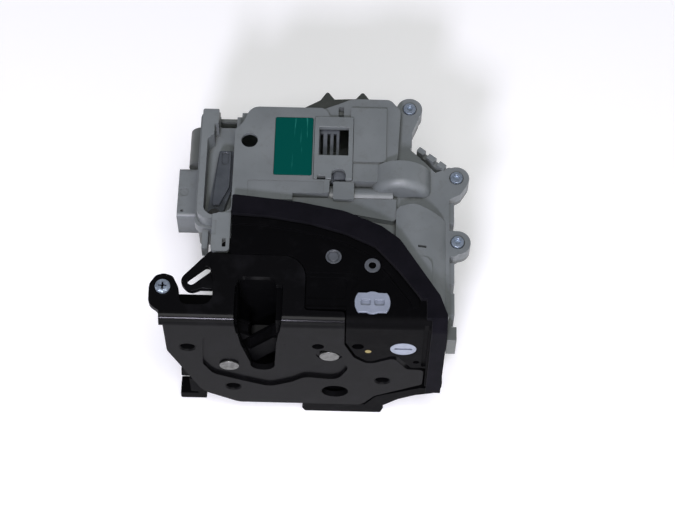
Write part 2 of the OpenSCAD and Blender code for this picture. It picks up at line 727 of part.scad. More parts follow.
function inset_body(by) = [
    [channel_x[1] + by, 53 + by, 1], [channel_x[1] + by, 64.5 + by, 0], [left_x + by, 64.5 + by, 1],
    [left_x + by, 119 - by, 2], [27, 119 - by, 1], [34, 121.5 - by, 1], [40, 124.4 - by, 4],
    [59 - by, 124.4 - by, 3], [64 - by, 118.5 - by, 2], [64.5 - by, 104, 1], [74 - by, 95 - by, 1],
    [82 - by, 86 - by, 1], [87.5 - by, 80, 1], [87.5 - by, 9 + by, 1], [66 + by, 9 + by, 1], [66 + by, 53 + by, 1]
];

module ears(z0, z1) {
    for (at = ears_at) rod_z(at, z0, z1, ear_r);
    lying([[58, 100, 0], [58, 120, 0], [64.5, 128, 2], [73, 119, 2], [69.4, 110, 3], [69.4, 102, 2],
           [66, 98, 0]], z0, z1);
    lying([[80, 87, 0], [88, 91, 2], [96.6, 82, 2], [93, 76, 2], [86, 72, 0], [80, 78, 0]], z0, z1);
    lying([[84, 56, 0], [92, 55.6, 2], [97, 47, 3], [90, 42, 2], [84, 42, 0]], z0, z1);
}

// Loop of the cover that reaches over a wall of the base
module snap_loop(at) {
    translate([at[0], at[1], 0]) rotate(at[2]) difference() {
        union() {
            block([0.3, -snap_w / 2, split_z - 8], [2.3, snap_w / 2, ear_z - 1.2]);
            block([-1.5, -snap_w / 2, split_z + 0.3], [2.3, snap_w / 2, ear_z - 1.2]);
        }
        block([-2, -snap_w / 2 + 2, split_z - 5.6], [3, snap_w / 2 - 2, split_z - 0.4]);
    }
}

// Wedge of the base that catches in a loop
module snap_wedge(at) {
    translate([at[0], at[1], 0]) rotate(at[2]) translate([0, snap_w / 2 - 2.4, 0]) rotate([90, 0, 0])
        linear_extrude(snap_w - 4.8)
            polygon([[-0.5, split_z - 5], [1.9, split_z - 5], [1.9, split_z - 4], [0, split_z - 0.8],
                     [-0.5, split_z - 0.8]]);
}

module housing_base() {
    color(grey) difference() {
        union() {
            lying(body_points, base_z, split_z);
            ears(split_z - ear_t, split_z);
            for (at = snaps) snap_wedge(at);
            // Barrel that the inside cable enters
            rod_y([-34, base_z + 16], 99, 118.9, 6);
            // Arm and foot beside the seal
            block([86.6, 1.2, split_z - 15], [91, 8, split_z]);
            block([86.6, 7.9, split_z - 15], [88.6, 12, split_z]);
            block([84, 10, split_z - 15], [88.6, 12, split_z]);
        }
        lying(inset_body(wall), base_z + wall, split_z + 1);
        for (at = ears_at) rod_z(at, split_z - 10, split_z + 1, 1.6);
        rod_y([-34, base_z + 16], 108, 125, 3);
        // Room for the connector on the left wall
        block([left_x - 2, connector_low[0] + 2, connector_low[1] + 2],
              [left_x + wall + 1, connector_low[0] + connector_len - 2, connector_low[1] + connector_h - 2]);
    }
    // Carriers of the motors, the worm and the wheel axle
    color(grey) {
        difference() {
            union() {
                block([motor_x + 2, worm_y - motor_r - 1.5, base_z + wall - 0.01],
                      [motor_x + 6, worm_y + motor_r + 1.5, worm_z - 1]);
                block([motor_x + motor_len - 6, worm_y - motor_r - 1.5, base_z + wall - 0.01],
                      [motor_x + motor_len - 2, worm_y + motor_r + 1.5, worm_z - 1]);
                block([75.5, worm_y - 4, base_z + wall - 0.01], [78, worm_y + 4, worm_z + 3]);
                block([6, 94, base_z + wall - 0.01], [14, 108, split_z - 8.02]);
            }
            rod_x([worm_y, worm_z], motor_x, motor_x + motor_len, motor_r + 0.1);
            rod_x([worm_y, worm_z], 70, 80, 1.55);
        }
        difference() {
            block([wheel_at[0] - 3, wheel_y - 9, base_z + wall - 0.01], [wheel_at[0] + 3, wheel_y - 5.5, split_z - 6]);
            rod_x([worm_y, worm_z], 50, 80, 7);
        }
    }
}

// Dark cap behind the base, with its two points
module rear_cap() {
    color("#4a4e4b") difference() {
        lying([[8, 118, 0], [64, 118, 0], [64, 125, 6], [54, 133.6, 8], [48.4, 134, 1], [45, 138.6, 1],
               [41.6, 134.4, 1], [31, 133.8, 1], [27.4, 138.6, 1], [24, 133.2, 1], [12, 126, 8]],
              split_z - 22, split_z - ear_t - 0.4);
        lying(inset_body(-0.3), split_z - 23, split_z);
        difference() {
            lying([[10, 119, 0], [61.5, 119, 0], [61.5, 124.4, 4], [53, 131.6, 6], [30, 131.8, 2], [14, 125, 6]],
                  split_z - 20, split_z - ear_t - 2.4);
            lying([[5, 110, 0], [66, 110, 0], [66, 125.8, 4], [39.6, 126, 5], [33.6, 123.2, 3], [27, 120.8, 2],
                   [5, 120.8, 0]], split_z - 24, split_z);
        }
        block([8, 118.9, split_z - 23], [10.2, 122, split_z]);
    }
}

module housing_cover() {
    top = plateau_z;
    inner = top - wall;
    color(grey) difference() {
        union() {
            lying(lid_points, split_z + 0.05, ear_z);
            ears(split_z + 0.05, ear_z);
            // Plateau that carries the label
            lying([[-16.2, 66.5, 1], [-16.2, 104, 2], [-12.5, 109, 3], [-9, 117.9, 6], [27, 117.9, 4],
                   [30, 112, 2], [30, 70.2, 1], [12.6, 70.2, 0], [12.6, 66.5, 0]], ear_z - 0.01, top);
            // Block with the flat pad on its right
            lying([[24, 112, 0], [24, 117, 4], [34, 121.3, 3], [40, 124.2, 5], [58.6, 124.2, 4.5],
                   [63.6, 118, 4], [62.4, 92, 2], [61, 86.4, 0], [24, 86.4, 0]], ear_z - 0.01, top - 1.2);
            lying(box_points([39.4, 88], [56.8, 118.4], 0.6), top - 1.21, top);
            // Roof over the rack, between the window and the arch
            lying([[40, 77.4, 1], [66, 77.4, 0], [66, 87, 0], [40, 87, 0]], ear_z - 0.01, top - 0.6);
            // Left wall of the cable channel, which turns round the channel's front end
            lying([[-32.3, 57, 5], [-27, 54.8, 6], [-16.2, 57.5, 3], [-15, 68, 0], [-15, 116, 0],
                   [-32.3, 116, 1]], ear_z - 0.01, top);
            // Tab with a slot, which reaches over the outside lever to the wing
            lying([[-24.6, 58, 0], [-24.6, 37.4, 1.5], [-15.9, 37.4, 1.5], [-15.9, 58, 0]], top - 1.1, top + 0.8);
            block([-29.8, 44.5, ear_z - 10], [-27, 58, ear_z - 2]);
            // Lower shelf between the seal and the ridge
            lying([[12, 60.5, 1], [12, 69.8, 0], [62, 69.8, 0], [62, 57.6, 2], [40, 61.6, 3]],
                  ear_z - 0.01, top - 4);
            // Ridge over the worm shaft and its square block
            rod_x([73.2, ear_z], 22.5, 60.4, 4.4);
            lying(box_points([31.8, 67.9], [41.8, 77.5], 0.8), ear_z - 0.01, top - 1.5);
            // Arch over the worm wheel
            intersection() {
                dome_y(wheel_at, 73, 86.5, arch_r, arch_fillet);
                block([40, 70, split_z + 0.05], [80, 90, wing_z + 20]);
            }
            // Rounded hump over the drum on the right
            intersection() {
                rod_y([70, ear_z - 14], 14, 67, 21);
                lying([[62, 14, 0], [62, 64.6, 3], [70.8, 66.4, 8], [86.5, 60.5, 5], [86.5, 14, 0]],
                      split_z + 1, top + 6);
            }
            lying([[67, 22, 3], [79, 22, 3], [79, 38, 5], [69, 38, 5]], ear_z - 0.01, top - 1);
            // Hinge rib on the diagonal wall, and the snap loops
            lying([[71.5, 98.6, 0.5], [84.5, 88.4, 0.5], [86.2, 90.6, 0.5], [73.2, 100.8, 0.5]],
                  split_z + 0.05, ear_z + 2);
            for (at = snaps) snap_loop(at);
        }
        cover_hollows(inner);
        for (at = ears_at) {
            rod_z(at, split_z - 1, ear_z + 1, 1.75);
            rod_z(at, ear_z - 1.4, ear_z + 1, 3.5);
        }
    }
}

// Cable channel, label bed, window, holes and the inside of the housing cover
module cover_hollows(inner) {
    top = plateau_z;
    // Cable channel, open upwards and to the rear, with a slot through its floor at the rear
    lying([[channel_x[0], 60, 4], [-25.6, 56.5, 4], [channel_x[1], 60, 3], [channel_x[1], 104, 0],
           [channel_x[1] + 2.4, 108, 0], [channel_x[1] + 2.4, 125, 0], [-24.6, 125, 0], [-24.6, 107.5, 0],
           [-26.4, 107.5, 0], [-26.4, 102, 0], [channel_x[0], 99, 0]], channel_floor, top + 1);
    lying(box_points([-24.4, 112.5], [-16.4, 121], 1), split_z - 1, top);
    // Slot and notch of the tab
    lying(box_points([-19.4, 39.6], [-17.6, 44.2], 0.3), top - 2, top + 2);
    block([-25, 46, top + 0.2], [-22.6, 54, top + 2]);
    // Bed of the label and the shallow field below it
    lying(box_points([2.9, 79.6], [21.5, 112.2], 1), top - 0.8, top + 1);
    lying(box_points([-9, 65], [27.4, 76.6], 0.6), top - 0.35, top + 1);
    // Round hole in the plateau, and the narrow slot beside the pad
    rod_z([-9.1, 98.7], inner - 4, top + 1, 4);
    lying(box_points([33.4, 113.4], [36, 119.4], 0.5), top - 6, top + 1);
    // Opening for the window frame
    lying(box_points([22, 77.6], [41, 112.8], 0.5), inner - 0.5, top + 1);
    // Room for the mechanism, open downwards
    difference() {
        lying(inset_body(wall), split_z - 1, ear_z - wall);
        block([-40, 40, split_z - 2], [channel_x[1] + 2, 130, ear_z]);
    }
    lying([[-13.4, 70, 2], [11, 70, 1], [11, 78.6, 1], [43, 78.6, 0], [43, 110.5, 2], [-13.4, 110.5, 2]],
          split_z, inner);
    lying(box_points([24, 88], [59, 118], 2), split_z, inner - 1.2);
    // Inside of the arch, with the way out for the rack
    rod_y(wheel_at, 73 + wall, 85, arch_r - 1.3);
    rod_y(wheel_at, 73.4, 86.2, 1.55);
    block([36, 78.8, ear_z - 3], [76, 84.6, inner]);
    intersection() {
        rod_y([70, ear_z - 14], 14 + wall, 62, 21 - wall);
        block([62 + wall, 14, split_z - 1], [86.5 - wall, 59, top + 6]);
    }
    block([24, 67, split_z - 1], [64, 74, ear_z - 0.5]);
    // Dark slit in the hump, and the gaps of the hinge rib
    block([72.4, 43, top - 4], [76.4, 44.2, top + 2]);
    translate([78.8, 94.6, ear_z - 1]) rotate(-38) block([-4.4, -3, 0], [-2.2, 3, 4]);
    translate([78.8, 94.6, ear_z - 1]) rotate(-38) block([2.2, -3, 0], [4.4, 3, 4]);
}

module cover_screws() {
    color(zinc) for (at = ears_at) {
        difference() {
            rod_z(at, ear_z - 1.38, ear_z + 1, 3);
            rod_z(at, ear_z - 0.2, ear_z + 2, 1.4);
        }
        rod_z(at, split_z - ear_t + 0.2, ear_z - 1.37, 1.5);
    }
}

module green_label() {
    color("#14776a") lying(box_points([3.1, 79.8], [21.3, 112], 0.8), plateau_z - 0.78, plateau_z + 0.1);
}

// Separate frame with the slatted window and the half-round hole below it
module window_frame() {
    color(grey) difference() {
        lying(box_points([22.2, 77.8], [40.8, 112.6], 0.5), plateau_z - wall - 0.4, plateau_z + 0.6);
        block([24.4, 91, plateau_z - 4], [38.6, 106.8, plateau_z + 2]);
        rod_z([34.2, 80.4], plateau_z - 4, plateau_z + 2, 3.4);
        block([30.8, 76, plateau_z - 4], [37.6, 80.4, plateau_z + 2]);
        block([24, 76, plateau_z - 4], [28, 79.5, plateau_z + 2]);
    }
}

// Slider of the inside release, in its channel beside the plateau
module inside_release_slider() {
    eye = [slider_x, 61.6];
    color("#5b5f62") difference() {
        union() {
            lying([[-23.8, 97, 1], [-16.9, 97, 1], [-16.9, 76, 6], [-20.9, 61.6, 0], [-28.3, 61.6, 0],
                   [-26.2, 76, 8]], channel_floor + 0.3, channel_floor + 4);
            rod_z(eye, channel_floor + 0.3, channel_floor + 4.6, 3.7);
            lying([[-23.4, 95.8, 1.5], [-18, 95.8, 1.5], [-18, 76, 5], [-22.4, 66, 1], [-25.6, 66, 1]],
                  channel_floor + 3.99, channel_floor + 6);
        }
        rod_z(eye, channel_floor, channel_floor + 12, 2.7);
        lying([[-22.4, 94.8, 1], [-19, 94.8, 1], [-19, 88, 1.6], [-22.4, 88, 1.6]], channel_floor + 5.4,
              channel_floor + 7);
    }
}

module slider_nipple() {
    color("#5b5f62") {
        rod_z([slider_x, 61.6], channel_floor + 0.6, channel_floor + 5.2, 2.65);
        rod_z([slider_x, 61.6], channel_floor + 5.19, channel_floor + 6, 1.4);
    }
}

// Electrical connector: a shroud that is open to the left
module connector_shroud() {
    y0 = connector_low[0];
    y1 = y0 + connector_len;
    z0 = connector_low[1];
    z1 = z0 + connector_h;
    color(grey) difference() {
        facing_x(box_points([y0, z0], [y1, z1], 2), -44, left_x - 0.1);
        facing_x(box_points([y0 + 2, z0 + 2], [y1 - 2, z1 - 2], 1), -46, -37.9);
        rod_z([-41.5, 71.2], z1 - 3, z1 + 1, 0.8);
        rod_z([-41, 81.6], z1 - 0.6, z1 + 1, 2.2);
        connector_pins_at(0.52);
    }
}

module connector_pins_at(r) {
    for (i = [0 : 7], j = [0 : 1])
        rod_x([connector_low[0] + 3.2 + 3 * i, connector_low[1] + 6 + 6 * j], -41, -32, r);
}

module connector_pins() {
    color(zinc) connector_pins_at(0.5);
}

module circuit_carrier() {
    color("#2f5b3a") lying(box_points([-31.5, 67.5], [-20, 99], 1), base_z + wall + 1, base_z + wall + 20);
}

module motor(front, length) {
    intersection() {
        rod_x(front, 0, length, motor_r);
        translate([-1, front[0] - motor_r, front[1] - 7.7]) cube([length + 2, 2 * motor_r, 15.4]);
    }
}

module lock_motor() {
    color(zinc) {
        translate([motor_x, 0, 0]) motor([worm_y, worm_z], motor_len);
        rod_x([worm_y, worm_z], motor_x + motor_len - 0.01, motor_x + motor_len + 2.5, 3);
        rod_x([worm_y, worm_z], motor_x + motor_len + 2.49, motor_x + motor_len + 4, 1);
    }
}

module deadlock_motor() {
    color(zinc) translate([48, 91, base_z + wall + 8]) rotate([0, 0, 90]) {
        motor([0, 0], motor_len);
        rod_x([0, 0], -2.5, 0.01, 3);
    }
}

// Height of the worm's surface at a place along its axis and an angle around it
function wave(t) = abs((t % 1 + 1) % 1 - 0.5) * 2;
function worm_surface(x, angle) =
    worm_r - 1.05 * wheel_module
    + 1.95 * wheel_module * max(0, min(1, (wave((x - wheel_at[0]) / worm_pitch - (angle - 90) / 360) - 0.48) * 3.2));

module worm() {
    x0 = 54.5;
    x1 = 73.5;
    rows = 60;
    around = 16;
    points = [for (i = [0 : rows], j = [0 : around - 1])
        let (x = x0 + (x1 - x0) * i / rows, a = 360 * j / around, r = worm_surface(x, a))
        [x, worm_y + r * cos(a), worm_z + r * sin(a)]];
    ends = [[x0, worm_y, worm_z], [x1, worm_y, worm_z]];
    sides = [for (i = [0 : rows - 1], j = [0 : around - 1])
        let (a = i * around + j, b = i * around + (j + 1) % around)
        each [[a, a + around, b], [b, a + around, b + around]]];
    count = len(points);
    last = rows * around;
    caps = [for (j = [0 : around - 1])
        each [[count, j, (j + 1) % around], [count + 1, last + (j + 1) % around, last + j]]];
    color(white) {
        polyhedron(concat(points, ends), concat(sides, caps));
        rod_x([worm_y, worm_z], x1 - 0.01, 77.5, 1.5);
        rod_x([worm_y, worm_z], motor_x + motor_len + 4.4, x0 + 0.01, 2.2);
    }
}

function gear_points(teeth, pitch_r, m, thick) = [for (i = [0 : teeth - 1])
    let (mid = 360 * (i + 0.5) / teeth, half = thick * 180 / (PI * pitch_r) / 2,
         root = pitch_r - 1.15 * m, tip = pitch_r + 0.85 * m)
    each [root * [cos(mid - half * 1.7), sin(mid - half * 1.7)],
          pitch_r * [cos(mid - half), sin(mid - half)],
          tip * [cos(mid - half * 0.45), sin(mid - half * 0.45)],
          tip * [cos(mid + half * 0.45), sin(mid + half * 0.45)],
          pitch_r * [cos(mid + half), sin(mid + half)],
          root * [cos(mid + half * 1.7), sin(mid + half * 1.7)]]];

module worm_wheel() {
    pinion_y = wheel_y + wheel_w;
    color(white) difference() {
        union() {
            translate([wheel_at[0], wheel_y + wheel_w, wheel_at[1]]) rotate([90, 0, 0])
                linear_extrude(wheel_w) rotate(90) rotate(180 / wheel_teeth * (wheel_teeth % 2))
                    polygon(gear_points(wheel_teeth, wheel_r, wheel_module, 0.9));
            translate([wheel_at[0], pinion_y + pinion_w, wheel_at[1]]) rotate([90, 0, 0])
                linear_extrude(pinion_w + 0.01) rotate(90)
                    polygon(gear_points(pinion_teeth, pinion_r, rack_module, 1.2));
        }
        rod_y(wheel_at, wheel_y - 1, pinion_y + pinion_w + 1, 1.5 + turn_gap);
    }
}

module wheel_axle() {
    color(zinc) rod_y(wheel_at, wheel_y - 1.5, wheel_y + wheel_w + pinion_w + 2, 1.5);
}

// Rack that the pinion drives, with the slats that show in the window
module lock_slider() {
    pitch = PI * rack_module;
    rack_y = wheel_y + wheel_w + 0.3;
    rack_w = pinion_w - 0.4;
    body_z = rack_z + 1.25;
    slat_z = ear_z + 0.6;
    half = rack_tooth / 2;
    tooth = [[-half - 0.45, 1.3, 0], [-half, 0, 0], [-half + 0.35, -0.8, 0], [half - 0.35, -0.8, 0],
             [half, 0, 0], [half + 0.45, 1.3, 0]];
    color("#5b5f62") {
        block([33, rack_y, body_z], [wheel_at[0] + 2.2, rack_y + rack_w, body_z + 1.5]);
        for (i = [-4 : 0])
            standing(moved(tooth, [wheel_at[0] + i * pitch, rack_z]), rack_y, rack_y + rack_w);
        block([32, rack_y, slat_z], [34.6, rack_y + rack_w, body_z + 1.5]);
        difference() {
            block([20, rack_y, slat_z], [34.01, 109, slat_z + 1.5]);
            for (x = [21.4, 24.8, 28.2, 31.2]) block([x, 90, slat_z - 1], [x + 1.5, 107, slat_z + 2]);
        }
    }
}

module catch_switch() {
    color(black) block([-41, back_y + back_t + 0.1, 44], [-23, back_y + back_t + 6.5, 54]);
}

module lock_switch() {
    color(black) block([4, 92, split_z - 8], [16, 110, split_z]);
}

latch_plate();
back_plate();
latch_frame();
catch_rivet();
pawl_rivet();
striker_buffer();
catch();
catch_skin_moulding();
catch_spring();
pawl();
pawl_spring();
release_lever();
lever_rivet();
lever_spring();
plate_screw();
side_cover();
foam_seal();
locating_pins();
emergency_disc();
twist_plug();
housing_base();
rear_cap();
housing_cover();
cover_screws();
green_label();
window_frame();
inside_release_slider();
slider_nipple();
connector_shroud();
connector_pins();
circuit_carrier();
lock_motor();
deadlock_motor();
worm();
worm_wheel();
wheel_axle();
lock_slider();
catch_switch();
lock_switch();
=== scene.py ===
"""Car door lock: finishes, rounded edges and small parts around the fixed frame."""

import json
from math import cos, pi, radians, sin

import bpy
from mathutils import Matrix, Vector

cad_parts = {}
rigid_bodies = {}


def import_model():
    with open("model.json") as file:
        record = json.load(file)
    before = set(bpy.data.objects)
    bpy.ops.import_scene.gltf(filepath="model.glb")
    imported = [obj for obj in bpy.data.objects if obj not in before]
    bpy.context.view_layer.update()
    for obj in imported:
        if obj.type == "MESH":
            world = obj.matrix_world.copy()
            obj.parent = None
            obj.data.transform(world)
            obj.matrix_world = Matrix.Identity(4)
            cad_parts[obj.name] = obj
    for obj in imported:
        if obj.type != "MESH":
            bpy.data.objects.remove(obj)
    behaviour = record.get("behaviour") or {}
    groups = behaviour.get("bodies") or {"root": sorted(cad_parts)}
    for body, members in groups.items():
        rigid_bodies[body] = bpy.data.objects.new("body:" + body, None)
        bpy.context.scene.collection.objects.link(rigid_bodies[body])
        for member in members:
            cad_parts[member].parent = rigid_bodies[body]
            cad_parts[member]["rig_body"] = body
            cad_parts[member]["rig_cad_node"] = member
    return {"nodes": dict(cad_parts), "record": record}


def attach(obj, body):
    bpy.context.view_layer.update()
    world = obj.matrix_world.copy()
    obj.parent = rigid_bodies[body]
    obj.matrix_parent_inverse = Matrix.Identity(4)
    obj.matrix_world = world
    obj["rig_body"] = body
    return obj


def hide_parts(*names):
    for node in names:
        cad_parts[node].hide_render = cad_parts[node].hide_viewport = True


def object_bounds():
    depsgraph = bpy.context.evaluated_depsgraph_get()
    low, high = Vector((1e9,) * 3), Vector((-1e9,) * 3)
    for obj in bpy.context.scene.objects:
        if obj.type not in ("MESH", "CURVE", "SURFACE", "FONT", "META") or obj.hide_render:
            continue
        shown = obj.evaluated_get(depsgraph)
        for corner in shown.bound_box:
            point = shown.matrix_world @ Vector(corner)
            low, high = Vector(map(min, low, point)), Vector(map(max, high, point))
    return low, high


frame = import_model()
frame_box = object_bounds()

bl_info = {
    "name": "Car Door Lock",
    "version": (1, 0, 0),
    "blender": (4, 5, 0),
    "location": "3D View > Sidebar > Door Lock",
    "description": "Finishes and small parts of a car door lock with a rotating catch",
    "category": "Object",
}

MM = 0.001

# Corners of the loose triangles closer than this are one, and triangles that turn less than this
# from each other are one flat face
SAME_POINT = 2e-6
FLAT_ANGLE = radians(0.8)

# Edges sharper than the first angle get a rounding, and those sharper than the second stay crisp
ROUNDED_ANGLE = radians(30)
CRISP_ANGLE = radians(40)


# Selecting and shaping

def only(piece):
    """Selects one piece and nothing else."""
    bpy.ops.object.select_all(action="DESELECT")
    piece.select_set(True)
    bpy.context.view_layer.objects.active = piece


def apply_modifier(piece, kind, **settings):
    """Adds a modifier with its settings and applies it."""
    modifier = piece.modifiers.new(kind.lower(), kind)
    for name, value in settings.items():
        setattr(modifier, name, value)
    only(piece)
    bpy.ops.object.modifier_apply(modifier=modifier.name)


def round_edges(piece, width):
    """Rounds the sharp edges of a piece, then shades it smooth."""
    apply_modifier(piece, "BEVEL", width=width, segments=2, limit_method="ANGLE",
                   angle_limit=ROUNDED_ANGLE, use_clamp_overlap=True, miter_outer="MITER_ARC")
    flatten_faces(piece)


def flatten_faces(piece):
    """Smooths rounded edges and lets the large faces between them stay flat."""
    only(piece)
    bpy.ops.object.shade_smooth_by_angle(angle=CRISP_ANGLE)
    apply_modifier(piece, "WEIGHTED_NORMAL", mode="FACE_AREA", weight=50, keep_sharp=True)


def clean_copy(node, name):
    """A copy of a CAD node whose loose triangles are joined into whole faces."""
    only(frame["nodes"][node])
    bpy.ops.object.duplicate()
    piece = bpy.context.object
    piece.name = name
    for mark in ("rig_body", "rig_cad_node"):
        del piece[mark]
    bpy.ops.object.mode_set(mode="EDIT")
    bpy.ops.mesh.select_all(action="SELECT")
    bpy.ops.mesh.remove_doubles(threshold=SAME_POINT)
    bpy.ops.mesh.dissolve_limited(angle_limit=FLAT_ANGLE)
    bpy.ops.object.mode_set(mode="OBJECT")
    return piece


def body_of_node(node):
    """Name of the body that carries a node."""
    for body, members in frame["record"]["behaviour"]["bodies"].items():
        if node in members:
            return body
    raise ValueError(f"no body carries {node}")


def finish_piece(piece, material, body):
    """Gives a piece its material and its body."""
    piece.data.materials.clear()
    piece.data.materials.append(material)
    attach(piece, body)


def dress(node, material, rounding=0):
    """Stands a rounded copy with its finish in the place of a CAD node."""
    piece = clean_copy(node, f"finished_{node}")
    if rounding:
        round_edges(piece, rounding)
    else:
        flatten_faces(piece)
    finish_piece(piece, material, body_of_node(node))
    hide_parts(node)
    return piece


def faces_at_front(piece, reach):
    """Selects, in edit mode, the faces of a piece that look forwards (-Y) and lie foremost."""
    front = min(vertex.co.y for vertex in piece.data.vertices)
    bpy.ops.object.mode_set(mode="EDIT")
    bpy.ops.mesh.select_all(action="DESELECT")
    bpy.ops.object.mode_set(mode="OBJECT")
    for face in piece.data.polygons:
        face.select = face.normal.y < -0.95 and face.center.y < front + reach
    bpy.ops.object.mode_set(mode="EDIT")
    bpy.ops.mesh.select_mode(type="FACE")


def dimple(piece, inset, depth):
    """Sinks a small flat dimple into the middle of a round head that looks forwards."""
    only(piece)
    faces_at_front(piece, reach=0.05 * MM)
    bpy.ops.mesh.inset(thickness=inset, depth=0)
    bpy.ops.mesh.inset(thickness=depth, depth=-depth)
    bpy.ops.object.mode_set(mode="OBJECT")


# Materials

def linear(colour):
    """Turns an sRGB hex value into linear red, green and blue with full alpha."""
    parts = [int(colour[i:i + 2], 16) / 255 for i in (1, 3, 5)]
    return [c / 12.92 if c <= 0.04045 else ((c + 0.055) / 1.055) ** 2.4 for c in parts] + [1.0]


def per_mm(size):
    """Scale of a pattern on object coordinates whose features measure so many millimetres."""
    return 1 / (size * MM)


def add_node(tree, kind, settings=None, links=None):
    """Adds a shader node, sets its sockets and properties, and links its inputs."""
    node = tree.nodes.new(kind)
    for name, value in (settings or {}).items():
        if isinstance(name, int) or name in node.inputs:
            node.inputs[name].default_value = value
        else:
            setattr(node, name, value)
    for name, source in (links or {}).items():
        tree.links.new(source, node.inputs[name])
    return node


def start_material(name, values):
    """A new material whose shader has these values all over, and the object coordinates that its
    patterns read."""
    material = bpy.data.materials.new(name)
    material.use_nodes = True
    tree = material.node_tree
    tree.nodes.clear()
    shader = add_node(tree, "ShaderNodeBsdfPrincipled", values)
    add_node(tree, "ShaderNodeOutputMaterial", links={"Surface": shader.outputs["BSDF"]})
    place = add_node(tree, "ShaderNodeTexCoord").outputs["Object"]
    return material, tree, shader, place


def noise(tree, place, size, detail=4.0, roughness=0.6):
    """Noise whose blots measure so many millimetres."""
    node = add_node(tree, "ShaderNodeTexNoise",
                    {"Scale": per_mm(size), "Detail": detail, "Roughness": roughness},
                    {"Vector": place})
    return node.outputs["Fac"]


def spread(tree, source, low, high, to_low=0.0, to_high=1.0):
    """Maps one range of values on another."""
    node = add_node(tree, "ShaderNodeMapRange",
                    {"From Min": low, "From Max": high, "To Min": to_low, "To Max": to_high},
                    {"Value": source})
    return node.outputs["Result"]


def blend_colours(tree, share, first, second):
    """Mixes two colours, each a hex value or a socket."""
    node = tree.nodes.new("ShaderNodeMix")
    node.data_type = "RGBA"
    for name, colour in (("A", first), ("B", second)):
        socket = [s for s in node.inputs if s.name == name and s.type == "RGBA"][0]
        if isinstance(colour, str):
            socket.default_value = linear(colour)
        else:
            tree.links.new(colour, socket)
    tree.links.new(share, node.inputs["Factor"])
    return [s for s in node.outputs if s.type == "RGBA"][0]


def corners(tree, reach, share):
    """Share of painted shade: full in a corner or groove of so many millimetres, where little of
    the room is open, and none on free ground."""
    node = add_node(tree, "ShaderNodeAmbientOcclusion", {"samples": 8, "Distance": reach * MM})
    deep, free = 0.35, 0.9
    return spread(tree, node.outputs["AO"], deep, free, share, 0.0)


def larger(tree, first, second):
    """The larger of two values."""
    node = add_node(tree, "ShaderNodeMath", {"operation": "MAXIMUM"}, {0: first, 1: second})
    return node.outputs[0]


def add_bump(tree, shader, height, strength, depth):
    """Bump of a depth in millimetres from a height."""
    node = add_node(tree, "ShaderNodeBump", {"Strength": strength, "Distance": depth * MM},
                    {"Height": height})
    tree.links.new(node.outputs["Normal"], shader.inputs["Normal"])


def dipped_steel(colours):
    """Pressed steel under a dipped electrocoat: gloss black with soft orange peel, so that
    highlights along the bends are bright and slightly broken, and greyer where hands and fixtures
    rubbed it."""
    # The coat is partly matt and mirrors little, under a thin film that carries the highlights
    material, tree, shader, place = start_material("dip_coated_steel", {
        "IOR": 1.52, "Specular IOR Level": 0.01, "Coat Weight": 0.11, "Coat Roughness": 0.14})
    rubbed = noise(tree, place, 14.0, 5.0, 0.65)
    colour = blend_colours(tree, spread(tree, rubbed, 0.5, 0.75),
                           colours.steel_coat, colours.steel_rubbed)
    tree.links.new(colour, shader.inputs["Base Color"])
    tree.links.new(spread(tree, rubbed, 0.3, 0.75, 0.27, 0.42), shader.inputs["Roughness"])
    add_bump(tree, shader, noise(tree, place, 1.6, 2.0), 0.25, 0.03)
    return material


def black_polyamide(colours):
    """Glass-filled polyamide as moulded: almost black, with a fine spark-eroded grain that scatters
    the light, and a little pale dust in the grain."""
    material, tree, shader, place = start_material("black_polyamide", {
        "IOR": 1.53, "Specular IOR Level": 0.02})
    dust = noise(tree, place, 9.0, 6.0, 0.7)
    colour = blend_colours(tree, spread(tree, dust, 0.55, 0.8, 0.0, 0.6),
                           colours.black_moulding, colours.black_dust)
    tree.links.new(colour, shader.inputs["Base Color"])
    tree.links.new(spread(tree, dust, 0.3, 0.8, 0.46, 0.62), shader.inputs["Roughness"])
    # The grain measures 0.1 mm and is drawn at 0.5 mm so that it shows
    add_bump(tree, shader, noise(tree, place, 0.5, 2.0), 0.35, 0.05)
    return material


def seal_foam(colours):
    """Closed-cell foam rubber: dull black with a violet tinge, and with fine pores."""
    material, tree, shader, place = start_material("closed_cell_foam", {
        "Roughness": 0.82, "IOR": 1.5, "Specular IOR Level": 0.02, "Sheen Weight": 0.02})
    # The pores are too fine to see one by one and are drawn at 0.8 mm so that they show
    pores = add_node(tree, "ShaderNodeTexVoronoi", {"Scale": per_mm(0.8)}, {"Vector": place})
    cloud = noise(tree, place, 12.0, 5.0)
    colour = blend_colours(tree, spread(tree, cloud, 0.3, 0.7), colours.foam, colours.foam_pale)
    tree.links.new(colour, shader.inputs["Base Color"])
    add_bump(tree, shader, pores.outputs["Distance"], 0.3, 0.12)
    return material


def grey_polyester(colours, name, pale, dark):
    """Polyester (PBT) as moulded: satin light grey with faint flow clouds, grime in blots, painted
    shade in the corners, and a fine grain that breaks up its broad soft highlights."""
    material, tree, shader, place = start_material(name, {"IOR": 1.55})
    cloud = noise(tree, place, 26.0, 3.0, 0.5)
    grime = noise(tree, place, 5.0, 8.0, 0.72)
    body = blend_colours(tree, spread(tree, cloud, 0.35, 0.65), pale, dark)
    # Grime in blots, and painted shade in the corners where little room is open, both in the grime
    # colour
    grime_and_shade = larger(tree, spread(tree, grime, 0.52, 0.76, 0.0, 0.5), corners(tree, 3.0, 0.75))
    stained_and_shaded = blend_colours(tree, grime_and_shade, body, colours.grime)
    tree.links.new(stained_and_shaded, shader.inputs["Base Color"])
    tree.links.new(spread(tree, grime, 0.3, 0.75, 0.38, 0.55), shader.inputs["Roughness"])
    add_bump(tree, shader, noise(tree, place, 0.7, 3.0), 0.2, 0.04)
    return material


